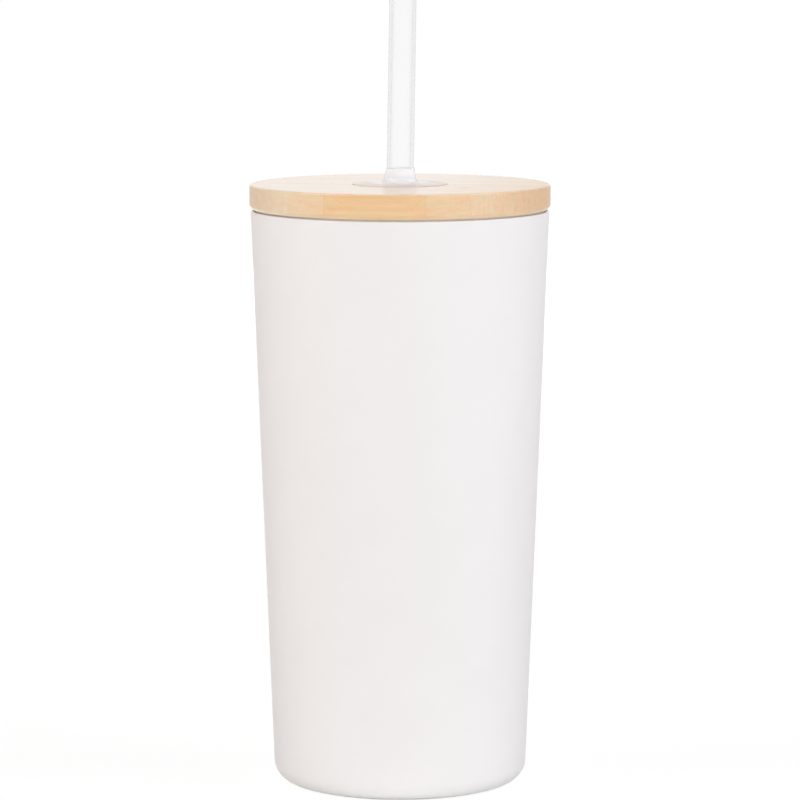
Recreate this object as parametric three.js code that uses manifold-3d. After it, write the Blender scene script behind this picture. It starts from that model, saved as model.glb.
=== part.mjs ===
// Travel tumbler: a vacuum-walled steel cup, a bamboo lid on a moulded plug, and a straw.
// Millimetres, +Z up. The origin is on the table at the centre of the foot, and the front faces -Y.

import * as THREE from "three";
import { mergeVertices } from "three/addons/utils/BufferGeometryUtils.js";
import Module from "manifold-3d";

const wasm = await Module();
wasm.setup();

// Cup outside
const CUP_HEIGHT = 168.8; // table to the crown of the lip
const MOUTH_RADIUS = 43.65; // outside, at the crown
const BASE_RADIUS = 37.0; // outside, where the taper would meet the table
const FOOT_ROUND = 6.0; // between the wall and the foot
const FOOT_RING_WIDTH = 2.4; // flat ring that stands on the table

// Cup walls
const SHELL_WALL = 0.5;
const LINER_WALL = 0.5;
const VACUUM_GAP = 2.8; // between shell and liner
const LIP_GAP = 0.2; // between shell and liner, under the rolled lip
const LIP_RETURN = 0.5; // straight part of the rolled lip, inside the mouth
const MOUTH_FLARE = 5.0; // height over which the liner widens to the lip
const FLOOR_ROUND = 8.0; // inside the liner, between wall and floor

// Base disc, welded on the turned-in foot
const BASE_WALL = 0.5;
const BASE_RECESS = 2.2; // table to the underside of the disc
const BASE_STEP_WIDTH = 1.6; // sloping step from the disc down to its rim
const BASE_RIM_WIDTH = 0.6; // flat of the rim inside the foot ring
const BASE_RIM_CLEARANCE = 0.3; // from the rim's edge to the round of the foot

// Pumping port in the base disc, closed by a bead of solder glass
const PORT_RADIUS = 1.5;
const PORT_CLEARANCE = 0.15;
const BEAD_COVER = 2.1; // bead past the edge of the port
const BEAD_DROP = 0.7; // below the dimple's face
const DIMPLE_MARGIN = 2.0; // flat left round the bead
const DIMPLE_DEPTH = 1.0;
const DIMPLE_SLOPE_WIDTH = 1.4;

// Getter, which soaks up the last gas in the vacuum
const TRAY_RADIUS = 5.0;
const TRAY_HEIGHT = 2.2;
const TRAY_WALL = 0.3;
const PELLET_CLEARANCE = 0.15;
const PELLET_RECESS = 0.4; // pellet inside the tray's mouth
const GETTER_OFFSET = 15.0; // from the cup's axis, towards +X
const GETTER_HEADROOM = 1.4; // from the tray down to the dimple's level

// Bamboo lid
const LID_OVERHANG = 0.35; // past the cup's outside at the crown
const LID_THICKNESS = 7.3;
const LID_TOP_ROUND = 0.6;
const LID_BEVEL_WIDTH = 0.85; // under the rim
const LID_BEVEL_HEIGHT = 1.2;
const LID_LIP_GAP = 0.4; // open slit between the bamboo and the lip

// Moulded plug under the lid
const PLUG_WALL = 1.6;
const PLUG_SEAT_CLEARANCE = 0.3; // between the cone and the top of the flare, which carries the lid
const PLUG_CLEARANCE = 0.6; // between the skirt and the liner
const PLUG_LEAD = 0.8; // bevel that guides the plug into the mouth
const GROOVE_HEIGHT = 4.4;
const GROOVE_DEPTH = 1.3;
const GROOVE_LAND = 1.6; // plug wall left above and below the groove
const BOSS_WALL = 1.6;
const BOSS_CLEARANCE = 0.3; // between boss and bamboo
const BOSS_DROP = 3.1; // top of the boss below the top of the bamboo
const RIB_COUNT = 8;
const RIB_THICKNESS = 1.2;

// Seal ring in the plug's groove
const RING_CLEARANCE = 0.2; // in the groove, at the root
const RING_PLAY = 0.3; // in the groove, in height
const RING_LIPS = 2;
const RING_LIP_ROOT = 0.9;
const RING_LIP_TIP = 0.4;
const RING_LIP_RISE = 0.5; // the tips sweep up
const RING_LIP_CLEARANCE = 0.25; // from the tips to the liner

// Straw
const STRAW_RADIUS = 4.0;
const STRAW_WALL = 0.8;
const STRAW_LENGTH = 240.0;
const STRAW_EDGE = 0.25; // bevel on the cut ends
const STRAW_LEAN = THREE.MathUtils.degToRad(0.91); // towards +X, about the lid's top
const STRAW_FLOOR_GAP = 2.2; // from the cut end to the liner's floor

// Soft grommet that lines the hole and grips the straw
const STRAW_CLEARANCE = 0.15;
const SLEEVE_WALL = 2.25;
const SLEEVE_CLEARANCE = 0.2; // between sleeve and boss
const BRIM_COVER = 5.6; // brim past the hole in the bamboo
const BRIM_EDGE = 0.45;
const BRIM_THICKNESS = 0.8; // beside the collar
const COLLAR_HEIGHT = 4.6; // above the bamboo
const COLLAR_FOOT_WALL = 0.7;
const COLLAR_TIP_WALL = 0.35;
const COLLAR_FILLET = 0.8;
const BULB_OVERHANG = 1.2; // bulb that keeps the grommet from pulling out
const BULB_HEIGHT = 2.4;
const BULB_NOSE = 1.2; // straight top of the bulb, before it tapers

// Facets
const SIDES = 48; // of the wide turned pieces
const SMALL_SIDES = 24; // of the straw and the small turned pieces
const ARC_STEPS = 2; // each arc gets twice as many chords
const WELD = 1e-4; // corners closer than this are one corner

// Levels and radii that follow from the sizes above
const TAPER = (MOUTH_RADIUS - BASE_RADIUS) / CUP_HEIGHT;
const TAPER_ANGLE = Math.atan(TAPER);
const LIP_ROUND = (SHELL_WALL + LINER_WALL + LIP_GAP) / 2; // the shell is rolled over the liner's edge
const LIP_UNDERSIDE = CUP_HEIGHT - LIP_ROUND - LIP_RETURN;
const LIP_INNER_RADIUS = wallRadius(CUP_HEIGHT - LIP_ROUND, 2 * LIP_ROUND);
const FLARE_FOOT = LIP_UNDERSIDE - MOUTH_FLARE;
const LINER_OUTSIDE = SHELL_WALL + VACUUM_GAP; // depth inside the cup's outside
const LINER_INSIDE = LINER_OUTSIDE + LINER_WALL;

const FOOT_CENTRE = roundCentre(0, 0, FOOT_ROUND);
const FOOT_EYE_RADIUS = FOOT_CENTRE.x - FOOT_RING_WIDTH;
const BEAD_RADIUS = PORT_RADIUS + BEAD_COVER;
const DIMPLE_FACE = BASE_RECESS + DIMPLE_DEPTH;
const LINER_UNDERSIDE = DIMPLE_FACE + BASE_WALL + GETTER_HEADROOM + TRAY_HEIGHT;
const LINER_FLOOR = LINER_UNDERSIDE + LINER_WALL;

const DECK = CUP_HEIGHT + LID_LIP_GAP; // underside of the bamboo
const LID_TOP = DECK + LID_THICKNESS;
const LID_RADIUS = MOUTH_RADIUS + LID_OVERHANG;
const BOSS_TOP = LID_TOP - BOSS_DROP;
const PLUG_FOOT = FLARE_FOOT - GROOVE_HEIGHT - 2 * GROOVE_LAND;
const PLUG_FLOOR = PLUG_FOOT + PLUG_WALL;
const GROOVE_BOTTOM = PLUG_FOOT + GROOVE_LAND;
const SKIRT_RADIUS = wallRadius(PLUG_FOOT, LINER_INSIDE) - PLUG_CLEARANCE;
const GROOVE_ROOT = SKIRT_RADIUS - GROOVE_DEPTH;

const GRIP_RADIUS = STRAW_RADIUS + STRAW_CLEARANCE;
const SLEEVE_RADIUS = GRIP_RADIUS + SLEEVE_WALL;
const BOSS_BORE = SLEEVE_RADIUS + SLEEVE_CLEARANCE;
const BOSS_RADIUS = BOSS_BORE + BOSS_WALL;
const LID_HOLE = BOSS_RADIUS + BOSS_CLEARANCE;

// Radius at a height of the tapered surface that lies a depth inside the cup's outside.
function wallRadius(z, depth) {
  return BASE_RADIUS + TAPER * z - depth;
}

// Centre of the round between a level floor and the tapered wall at a depth.
function roundCentre(floor, depth, round) {
  const z = floor + round;
  return new THREE.Vector2(wallRadius(z, depth) - round / Math.cos(TAPER_ANGLE), z);
}

// One closed skin: shared corners are merged, and triangles that shrink to a line are dropped.
function closedSkin(geometry) {
  geometry.deleteAttribute("normal");
  geometry.deleteAttribute("uv");
  const skin = mergeVertices(geometry, WELD);
  const corners = Array.from(skin.index.array);
  const kept = [];
  for (let i = 0; i < corners.length; i += 3) {
    const triangle = corners.slice(i, i + 3);
    if (new Set(triangle).size === 3) {
      kept.push(...triangle);
    }
  }
  skin.setIndex(kept);
  skin.computeVertexNormals();
  return skin;
}

// A profile of radius and height, drawn anticlockwise, turned about the Z axis.
function turned(profile, sides) {
  const lathe = new THREE.LatheGeometry(profile.getPoints(ARC_STEPS), sides);
  return closedSkin(lathe.rotateX(Math.PI / 2));
}

function solidOf(geometry) {
  const vertProperties = new Float32Array(geometry.getAttribute("position").array);
  const triVerts = new Uint32Array(geometry.index.array);
  return new wasm.Manifold(new wasm.Mesh({ numProp: 3, vertProperties, triVerts }));
}

function geometryOf(solid) {
  const { vertProperties, triVerts } = solid.getMesh();
  const geometry = new THREE.BufferGeometry();
  geometry.setAttribute("position", new THREE.BufferAttribute(vertProperties, 3));
  geometry.setIndex(new THREE.BufferAttribute(triVerts, 1));
  geometry.computeVertexNormals();
  return geometry;
}

// Painted outer wall: turned in under the foot, rolled over at the lip.
function outerShell() {
  const lipCentre = CUP_HEIGHT - LIP_ROUND;
  const profile = new THREE.Path()
    .moveTo(FOOT_EYE_RADIUS, 0)
    .lineTo(FOOT_CENTRE.x, 0)
    .absarc(FOOT_CENTRE.x, FOOT_CENTRE.y, FOOT_ROUND, -Math.PI / 2, -TAPER_ANGLE)
    .absarc(wallRadius(lipCentre, LIP_ROUND), lipCentre, LIP_ROUND, 0, Math.PI)
    .lineTo(LIP_INNER_RADIUS, LIP_UNDERSIDE)
    .lineTo(wallRadius(LIP_UNDERSIDE, SHELL_WALL), LIP_UNDERSIDE)
    .absarc(FOOT_CENTRE.x, FOOT_CENTRE.y, FOOT_ROUND - SHELL_WALL, -TAPER_ANGLE, -Math.PI / 2, true)
    .lineTo(FOOT_EYE_RADIUS, SHELL_WALL)
    .closePath();
  return turned(profile, SIDES);
}

// Bare steel inner wall: round-cornered floor, tapered wall, flared to meet the lip.
function innerLiner() {
  const outerRound = FLOOR_ROUND + LINER_WALL;
  const outer = roundCentre(LINER_UNDERSIDE, LINER_OUTSIDE, outerRound);
  const inner = roundCentre(LINER_FLOOR, LINER_INSIDE, FLOOR_ROUND);
  const profile = new THREE.Path()
    .moveTo(0, LINER_UNDERSIDE)
    .lineTo(outer.x, LINER_UNDERSIDE)
    .absarc(outer.x, outer.y, outerRound, -Math.PI / 2, -TAPER_ANGLE)
    .lineTo(wallRadius(FLARE_FOOT, LINER_OUTSIDE), FLARE_FOOT)
    .lineTo(LIP_INNER_RADIUS + LINER_WALL, LIP_UNDERSIDE)
    .lineTo(LIP_INNER_RADIUS, LIP_UNDERSIDE)
    .lineTo(wallRadius(FLARE_FOOT, LINER_INSIDE), FLARE_FOOT)
    .absarc(inner.x, inner.y, FLOOR_ROUND, -TAPER_ANGLE, -Math.PI / 2, true)
    .lineTo(0, LINER_FLOOR);
  return turned(profile, SIDES);
}

// Pressed steel disc that closes the vacuum from below, with a dimple round the pumping port.
function baseDisc() {
  const rim = FOOT_CENTRE.x - BASE_RIM_CLEARANCE;
  const stepFoot = FOOT_EYE_RADIUS - BASE_RIM_WIDTH;
  const stepTop = stepFoot - BASE_STEP_WIDTH;
  const dimpleFloor = BEAD_RADIUS + DIMPLE_MARGIN;
  const dimpleEdge = dimpleFloor + DIMPLE_SLOPE_WIDTH;
  const profile = new THREE.Path()
    .moveTo(PORT_RADIUS, DIMPLE_FACE)
    .lineTo(dimpleFloor, DIMPLE_FACE)
    .lineTo(dimpleEdge, BASE_RECESS)
    .lineTo(stepTop, BASE_RECESS)
    .lineTo(stepFoot, SHELL_WALL)
    .lineTo(rim, SHELL_WALL)
    .lineTo(rim, SHELL_WALL + BASE_WALL)
    .lineTo(stepFoot, SHELL_WALL + BASE_WALL)
    .lineTo(stepTop, BASE_RECESS + BASE_WALL)
    .lineTo(dimpleEdge, BASE_RECESS + BASE_WALL)
    .lineTo(dimpleFloor, DIMPLE_FACE + BASE_WALL)
    .lineTo(PORT_RADIUS, DIMPLE_FACE + BASE_WALL)
    .closePath();
  return turned(profile, SIDES);
}

// Solder glass, domed below the dimple and run up into the port.
function portBead() {
  const stem = PORT_RADIUS - PORT_CLEARANCE;
  const profile = new THREE.Path()
    .moveTo(0, DIMPLE_FACE - BEAD_DROP)
    .quadraticCurveTo(BEAD_RADIUS, DIMPLE_FACE - BEAD_DROP, BEAD_RADIUS, DIMPLE_FACE)
    .lineTo(stem, DIMPLE_FACE)
    .lineTo(stem, DIMPLE_FACE + BASE_WALL)
    .lineTo(0, DIMPLE_FACE + BASE_WALL);
  return turned(profile, SMALL_SIDES);
}

// Steel tray, open downwards, spot-welded under the liner.
function getterTray() {
  const mouth = LINER_UNDERSIDE - TRAY_HEIGHT;
  const ceiling = LINER_UNDERSIDE - TRAY_WALL;
  const profile = new THREE.Path()
    .moveTo(0, ceiling)
    .lineTo(TRAY_RADIUS - TRAY_WALL, ceiling)
    .lineTo(TRAY_RADIUS - TRAY_WALL, mouth)
    .lineTo(TRAY_RADIUS, mouth)
    .lineTo(TRAY_RADIUS, LINER_UNDERSIDE)
    .lineTo(0, LINER_UNDERSIDE);
  return turned(profile, SMALL_SIDES);
}

function getterPellet() {
  const ceiling = LINER_UNDERSIDE - TRAY_WALL;
  const foot = LINER_UNDERSIDE - TRAY_HEIGHT + PELLET_RECESS;
  const radius = TRAY_RADIUS - TRAY_WALL - PELLET_CLEARANCE;
  const profile = new THREE.Path()
    .moveTo(0, foot)
    .lineTo(radius, foot)
    .lineTo(radius, ceiling)
    .lineTo(0, ceiling);
  return turned(profile, SMALL_SIDES);
}

// Bamboo disc: rounded top edge, bevelled underneath, bored for the plug's boss.
function bambooLid() {
  const roundRadius = LID_RADIUS - LID_TOP_ROUND;
  const profile = new THREE.Path()
    .moveTo(LID_HOLE, DECK)
    .lineTo(LID_RADIUS - LID_BEVEL_WIDTH, DECK)
    .lineTo(LID_RADIUS, DECK + LID_BEVEL_HEIGHT)
    .absarc(roundRadius, LID_TOP - LID_TOP_ROUND, LID_TOP_ROUND, 0, Math.PI / 2)
    .lineTo(LID_HOLE, LID_TOP)
    .closePath();
  return turned(profile, SIDES);
}

// Hollow plug: hoop glued under the bamboo, cone that seats in the flare, grooved skirt, floor and boss.
function lidPlug() {
  const hoopRadius = LIP_INNER_RADIUS - PLUG_SEAT_CLEARANCE;
  const insideRadius = GROOVE_ROOT - PLUG_WALL;
  const grooveTop = GROOVE_BOTTOM + GROOVE_HEIGHT;
  const profile = new THREE.Path()
    .moveTo(BOSS_BORE, PLUG_FOOT)
    .lineTo(SKIRT_RADIUS - PLUG_LEAD, PLUG_FOOT)
    .lineTo(SKIRT_RADIUS, PLUG_FOOT + PLUG_LEAD)
    .lineTo(SKIRT_RADIUS, GROOVE_BOTTOM)
    .lineTo(GROOVE_ROOT, GROOVE_BOTTOM)
    .lineTo(GROOVE_ROOT, grooveTop)
    .lineTo(SKIRT_RADIUS, grooveTop)
    .lineTo(SKIRT_RADIUS, FLARE_FOOT)
    .lineTo(hoopRadius, LIP_UNDERSIDE)
    .lineTo(hoopRadius, DECK)
    .lineTo(hoopRadius - PLUG_WALL, DECK)
    .lineTo(hoopRadius - PLUG_WALL, LIP_UNDERSIDE)
    .lineTo(insideRadius, FLARE_FOOT)
    .lineTo(insideRadius, PLUG_FLOOR)
    .lineTo(BOSS_RADIUS, PLUG_FLOOR)
    .lineTo(BOSS_RADIUS, BOSS_TOP)
    .lineTo(BOSS_BORE, BOSS_TOP)
    .closePath();
  let plug = solidOf(turned(profile, SIDES));
  for (let i = 0; i < RIB_COUNT; i += 1) {
    plug = plug.add(plugRib(insideRadius, (2 * Math.PI * i) / RIB_COUNT));
  }
  return geometryOf(plug);
}

// Radial rib on the plug's floor, rooted half a wall deep in floor, boss and skirt.
function plugRib(insideRadius, angle) {
  const start = BOSS_RADIUS - BOSS_WALL / 2;
  const end = insideRadius + PLUG_WALL / 2;
  const foot = PLUG_FLOOR - PLUG_WALL / 2;
  const rib = new THREE.BoxGeometry(end - start, RIB_THICKNESS, FLARE_FOOT - foot);
  rib.translate((start + end) / 2, 0, (foot + FLARE_FOOT) / 2);
  return solidOf(closedSkin(rib.rotateZ(angle)));
}

// Silicone ring in the groove, with lips that sweep up and out to the liner.
function sealRing() {
  const bore = GROOVE_ROOT + RING_CLEARANCE;
  const top = GROOVE_BOTTOM + GROOVE_HEIGHT - RING_PLAY;
  const pitch = (top - GROOVE_BOTTOM) / RING_LIPS;
  const profile = new THREE.Path().moveTo(bore, GROOVE_BOTTOM).lineTo(SKIRT_RADIUS, GROOVE_BOTTOM);
  for (let i = 0; i < RING_LIPS; i += 1) {
    const root = GROOVE_BOTTOM + pitch * (i + 0.5) - RING_LIP_ROOT / 2;
    const tip = root + RING_LIP_RISE;
    const reach = wallRadius(root, LINER_INSIDE) - RING_LIP_CLEARANCE;
    profile
      .lineTo(SKIRT_RADIUS, root)
      .lineTo(reach, tip)
      .lineTo(reach, tip + RING_LIP_TIP)
      .lineTo(SKIRT_RADIUS, root + RING_LIP_ROOT);
  }
  profile.lineTo(SKIRT_RADIUS, top).lineTo(bore, top).closePath();
  return turned(profile, SIDES);
}

// Brim on the bamboo, collar round the straw, sleeve through the boss, bulb below the plug.
function strawGrommet() {
  const bulbRadius = BOSS_BORE + BULB_OVERHANG;
  const brimRadius = LID_HOLE + BRIM_COVER;
  const brimTop = LID_TOP + BRIM_THICKNESS;
  const collarTop = LID_TOP + COLLAR_HEIGHT;
  const collarFoot = GRIP_RADIUS + COLLAR_FOOT_WALL;
  const filletRadius = collarFoot + COLLAR_FILLET;
  const profile = new THREE.Path()
    .moveTo(0, PLUG_FOOT - BULB_HEIGHT)
    .lineTo(SLEEVE_RADIUS, PLUG_FOOT - BULB_HEIGHT)
    .lineTo(bulbRadius, PLUG_FOOT - BULB_NOSE)
    .lineTo(bulbRadius, PLUG_FOOT)
    .lineTo(SLEEVE_RADIUS, PLUG_FOOT)
    .lineTo(SLEEVE_RADIUS, LID_TOP)
    .lineTo(brimRadius, LID_TOP)
    .lineTo(brimRadius, LID_TOP + BRIM_EDGE)
    .absarc(filletRadius, brimTop + COLLAR_FILLET, COLLAR_FILLET, -Math.PI / 2, -Math.PI, true)
    .lineTo(GRIP_RADIUS + COLLAR_TIP_WALL, collarTop)
    .lineTo(0, collarTop);
  const blank = solidOf(turned(profile, SIDES));
  const depth = 2 * (collarTop - PLUG_FOOT + BULB_HEIGHT);
  const bore = new THREE.CylinderGeometry(GRIP_RADIUS, GRIP_RADIUS, depth, SMALL_SIDES);
  bore.rotateX(Math.PI / 2).rotateY(STRAW_LEAN).translate(0, 0, LID_TOP);
  return geometryOf(blank.subtract(solidOf(closedSkin(bore))));
}

// Straight tube along its own axis, with zero where that axis meets the top of the lid.
function drinkingStraw() {
  const bottom = STRAW_FLOOR_GAP - (LID_TOP - LINER_FLOOR) / Math.cos(STRAW_LEAN);
  const top = bottom + STRAW_LENGTH;
  const bore = STRAW_RADIUS - STRAW_WALL;
  const profile = new THREE.Path()
    .moveTo(bore, bottom + STRAW_EDGE)
    .lineTo(bore + STRAW_EDGE, bottom)
    .lineTo(STRAW_RADIUS - STRAW_EDGE, bottom)
    .lineTo(STRAW_RADIUS, bottom + STRAW_EDGE)
    .lineTo(STRAW_RADIUS, top - STRAW_EDGE)
    .lineTo(STRAW_RADIUS - STRAW_EDGE, top)
    .lineTo(bore + STRAW_EDGE, top)
    .lineTo(bore, top - STRAW_EDGE)
    .closePath();
  return turned(profile, SMALL_SIDES);
}

function piece(name, geometry, color, roughness, metalness) {
  const mesh = new THREE.Mesh(geometry, new THREE.MeshStandardMaterial({ color, roughness, metalness }));
  mesh.name = name;
  return mesh;
}

const cup = new THREE.Group();
cup.add(piece("outer_shell", outerShell(), 0xf0f0ee, 0.5, 0.0));
cup.add(piece("inner_liner", innerLiner(), 0xc4c5c6, 0.32, 1.0));
cup.add(piece("base_disc", baseDisc(), 0xc0c1c2, 0.35, 1.0));
cup.add(piece("port_bead", portBead(), 0x6d6a64, 0.3, 0.0));

const getter = new THREE.Group();
getter.add(piece("getter_tray", getterTray(), 0xb4b5b6, 0.4, 1.0));
getter.add(piece("getter_pellet", getterPellet(), 0x55524e, 0.8, 0.3));
getter.position.x = GETTER_OFFSET;
cup.add(getter);

const lid = new THREE.Group();
lid.add(piece("bamboo_lid", bambooLid(), 0xeccca3, 0.45, 0.0));
lid.add(piece("lid_plug", lidPlug(), 0xf2f1ed, 0.4, 0.0));
lid.add(piece("seal_ring", sealRing(), 0xe9e8e4, 0.55, 0.0));
lid.add(piece("straw_grommet", strawGrommet(), 0xf3f1ed, 0.5, 0.0));

const straw = piece("straw", drinkingStraw(), 0xf4f6f7, 0.15, 0.0);
straw.position.z = LID_TOP;
straw.rotation.y = STRAW_LEAN;

const tumbler = new THREE.Group();
tumbler.add(cup, lid, straw);

export default tumbler;
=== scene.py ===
import math

import bmesh
import bpy
from mathutils import Matrix, Vector, noise


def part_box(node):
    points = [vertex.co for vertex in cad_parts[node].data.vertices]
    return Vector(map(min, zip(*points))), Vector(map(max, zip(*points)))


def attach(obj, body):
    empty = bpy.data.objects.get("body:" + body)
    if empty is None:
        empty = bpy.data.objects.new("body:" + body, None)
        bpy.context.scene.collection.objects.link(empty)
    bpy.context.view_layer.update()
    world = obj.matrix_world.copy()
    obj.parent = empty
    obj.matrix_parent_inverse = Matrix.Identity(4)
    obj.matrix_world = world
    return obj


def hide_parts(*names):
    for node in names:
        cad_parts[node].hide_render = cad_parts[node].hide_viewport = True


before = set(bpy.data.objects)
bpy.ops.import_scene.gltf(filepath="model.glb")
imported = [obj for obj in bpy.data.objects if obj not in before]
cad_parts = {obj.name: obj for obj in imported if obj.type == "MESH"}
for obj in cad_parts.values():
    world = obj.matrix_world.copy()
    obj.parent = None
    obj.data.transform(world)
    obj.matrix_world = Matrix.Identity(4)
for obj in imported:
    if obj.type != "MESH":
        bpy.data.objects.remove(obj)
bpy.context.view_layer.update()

# Looks of a travel tumbler: white coated steel cup, bamboo lid on a moulded plug, clear straw.
# Metres, +Z up. The origin is on the table under the cup's axis, and the front faces -Y.

MM = 0.001


def levels(node):
    """Lowest level, highest level and widest radius of a turned node."""
    low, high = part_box(node)
    return low.z, high.z, high.x


def colour(red, green, blue):
    """A colour in the form that shader sockets take."""
    return (red, green, blue, 1.0)


def grey(level):
    """A colour without hue."""
    return colour(level, level, level)


# Levels and radii that the parts in model.glb give
TABLE, CUP_TOP, _ = levels("outer_shell")
LINER_UNDERSIDE, LIP_UNDERSIDE, LINER_EDGE = levels("inner_liner")
BASE_RIM_LEVEL, BASE_CROWN, BASE_RIM = levels("base_disc")
BEAD_LOW, BEAD_TOP, BEAD_RADIUS = levels("port_bead")
DECK, LID_TOP, LID_RADIUS = levels("bamboo_lid")
PLUG_FOOT, BOSS_TOP, PLUG_HOOP = levels("lid_plug")
GROOVE_BOTTOM, RING_TOP, RING_REACH = levels("seal_ring")
BULB_LOW, COLLAR_TOP, BRIM_RADIUS = levels("straw_grommet")
STRAW_LOW, STRAW_HIGH, _ = levels("straw")

# Cup
MOUTH_RADIUS = 43.65 * MM
BASE_RADIUS = 37.0 * MM
FOOT_ROUND = 6.0 * MM
FOOT_EYE = 28.83 * MM
STEEL = 0.5 * MM
VACUUM_GAP = 2.8 * MM
LIP_ROUND = 0.58 * MM
MOUTH_FLARE = 5.0 * MM
FLARE_ROUND = 2.0 * MM
FLOOR_ROUND = 8.0 * MM
BURR = 0.12 * MM
TAPER = (MOUTH_RADIUS - BASE_RADIUS) / (CUP_TOP - TABLE)

# Base disc and the bead in its port
BASE_RECESS = 2.2 * MM
STEP_FOOT = 28.23 * MM
STEP_TOP = 26.63 * MM
DIMPLE_EDGE = 7.0 * MM
DIMPLE_FLOOR = 5.6 * MM
DIMPLE_FACE = BASE_CROWN - STEEL
PORT_RADIUS = 1.5 * MM
PRESS_ROUND = 0.5 * MM
BEAD_LUMP_HEIGHT = 0.12 * MM
BEAD_LUMP_SIZE = 2.2 * MM

# Lid
LID_TOP_ROUND = 0.6 * MM
LID_BEVEL_WIDTH = 0.85 * MM
LID_BEVEL_HEIGHT = 1.2 * MM
LID_HOLE = 8.5 * MM
SANDED = 0.2 * MM
PLUG_WALL = 1.6 * MM
PLUG_LEAD = 0.8 * MM
SKIRT_RADIUS = 38.71 * MM
GROOVE_ROOT = 37.41 * MM
GROOVE_HEIGHT = 4.4 * MM
BOSS_BORE = 6.6 * MM
BOSS_RADIUS = 8.2 * MM
RIB_COUNT = 8
RIB_THICKNESS = 1.2 * MM
MOULD_ROUND = 0.2 * MM

# Seal ring
RING_BORE = 37.61 * MM
RING_LIPS = 2
RING_LIP_ROOT = 0.9 * MM
RING_LIP_TIP = 0.4 * MM
RING_LIP_RISE = 0.5 * MM
SOFT_ROUND = 0.18 * MM

# Grommet and straw
GRIP_RADIUS = 4.15 * MM
SLEEVE_RADIUS = 6.4 * MM
BULB_RADIUS = 7.8 * MM
BULB_NOSE = 1.2 * MM
BRIM_EDGE = 0.16 * MM
BRIM_ROUND = 0.07 * MM
BRIM_THICKNESS = 0.8 * MM
COLLAR_FOOT = 4.85 * MM
COLLAR_FILLET = 1.0 * MM
COLLAR_TIP = 4.28 * MM
COLLAR_TIP_ROUND = 0.2 * MM
COLLAR_GRIP = 4.01 * MM
COLLAR_GRIP_HEIGHT = 2.2 * MM
COLLAR_GRIP_ROUND = 0.02 * MM
COLLAR_REACH = 5.0 * MM
STRAW_RADIUS = 4.0 * MM
STRAW_BORE = 3.2 * MM
STRAW_EDGE = 0.25 * MM
STRAW_LEAN = math.radians(0.91)

# Facets
WIDE_STEPS = 180
SMALL_STEPS = 96
BEAD_STEPS = 48
BEAD_RINGS = 32
ROUND_STEPS = 8
WELD = 0.0005 * MM

# What a noise mostly keeps to, and the roughness that specks and clouds add to a finish
NOISE_RANGE = (0.3, 0.7)
CLOUD_GLOSS = (0.0, 0.06)

# Powder coat
COAT_TONES = (colour(0.85, 0.85, 0.848), colour(0.865, 0.865, 0.864))
COAT_GLOSS = (0.5, 0.58)
COAT_PEEL = 0.9 * MM
COAT_FLOW = 22.0 * MM
COAT_SPECK = 0.25 * MM
COAT_SPECK_HEIGHT = 0.25
COAT_RELIEF = 0.02 * MM

# Bamboo strips: the count's start settles each strip's tone and where its edges lie
GRAIN_ANGLE = math.radians(-10)
STRIP_WIDTH = 6.2 * MM
STRIP_COUNT_FROM = 294.69
STRIP_SHIFT = (31.0, 0.0, 7.0)
STRIP_TONES = (colour(0.785, 0.595, 0.415), colour(0.80, 0.54, 0.28))
GLUE_EDGE = (0.478, 0.492)

# Bamboo grain: how each kind of fibre is drawn out along the board, its size, and its tones
BAND_STRETCH = (0.03, 0.4, 1.0)
BAND_SIZE = 1.3 * MM
BAND_RANGE = (0.35, 0.65)
BAND_TONES = (colour(1.03, 0.92, 0.9), colour(0.97, 1.06, 1.02))
STREAK_STRETCH = (0.03, 1.0, 1.0)
STREAK_SIZE = 1.6 * MM
STREAK_SHARE = (0.0, 0.6)
STREAK_TONE = colour(0.88, 0.65, 0.43)
THREAD_STRETCH = (0.02, 1.0, 1.0)
THREAD_SIZE = 0.35 * MM
THREAD_RANGE = (0.52, 0.72)
THREAD_SHARE = (0.0, 0.26)
THREAD_TONE = colour(0.72, 0.44, 0.22)

# Bamboo end grain, by how far a face looks along the board; the darkening of both ends is partly their
# own tone and partly painted shade
END_FACING = (0.45, 0.85)
ROW_STRETCH = (0.02, 1.0, 0.12)
ROW_SIZE = 0.45 * MM
ROW_RANGE = (0.45, 0.65)
BUNDLE_SPACING = 0.5 * MM
BUNDLE_RADII = (0.14, 0.3)
BUNDLE_BLUR = 0.1
# Paler, cooler tone on the ends that face one way along the board
PALE_END_FACING = (-0.3, -0.6)
PALE_END_TONE = colour(1.0, 1.1, 1.18)
# Darker ends: partly the end grain's own tone, partly painted shade at the lid's two ends
END_GRAIN_AND_SHADE_FACING = (0.7, 1.0)
END_GRAIN_AND_SHADE_SIDES = (-0.5, 0.5)
END_GRAIN_AND_SHADE_TONES = (colour(0.86, 0.80, 0.80), colour(0.88, 0.85, 0.85))

# Bamboo knots: where along the board they may lie, how they wave and how wide they are
KNOT_SCATTER = 17.3
KNOT_PLACES = (-0.15, 0.15)
KNOT_WAVE = 3.0 * MM
KNOT_BEND = 2.4 * MM
KNOT_FADE = (0.4 * MM, 2.6 * MM)
KNOT_HEIGHT = 0.8

# Marks on the bamboo: how strongly each is drawn, and its colour
ROW_MARK = (0.22, colour(0.60, 0.37, 0.19))
BUNDLE_MARK = (0.25, colour(0.52, 0.29, 0.13))
KNOT_MARK = (0.3, colour(0.56, 0.33, 0.16))
GLUE_MARK = (0.08, colour(0.5, 0.3, 0.14))

# Bamboo oil: most on level faces, worn away towards one side
OIL_FACING = (0.3, 0.6)
OIL_WEIGHTS = (0.25, 1.0)
OIL_WEAR_START = 10.0 * MM
OIL_LEFT = 0.62
BAMBOO_GLOSS = (0.42, 0.58)
BAMBOO_RELIEF = 0.03 * MM

# Brushed steel
STEEL_TONES = (colour(0.69, 0.69, 0.695), colour(0.79, 0.79, 0.79))
STEEL_GLOSS = (0.38, 0.52)
BRUSH_RANGE = (0.25, 0.75)
BRUSH_LINE = 0.12 * MM
BRUSH_RUN = 0.4 * MM
STEEL_CLOUD = 14.0 * MM
STEEL_RELIEF = 0.01 * MM

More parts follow.
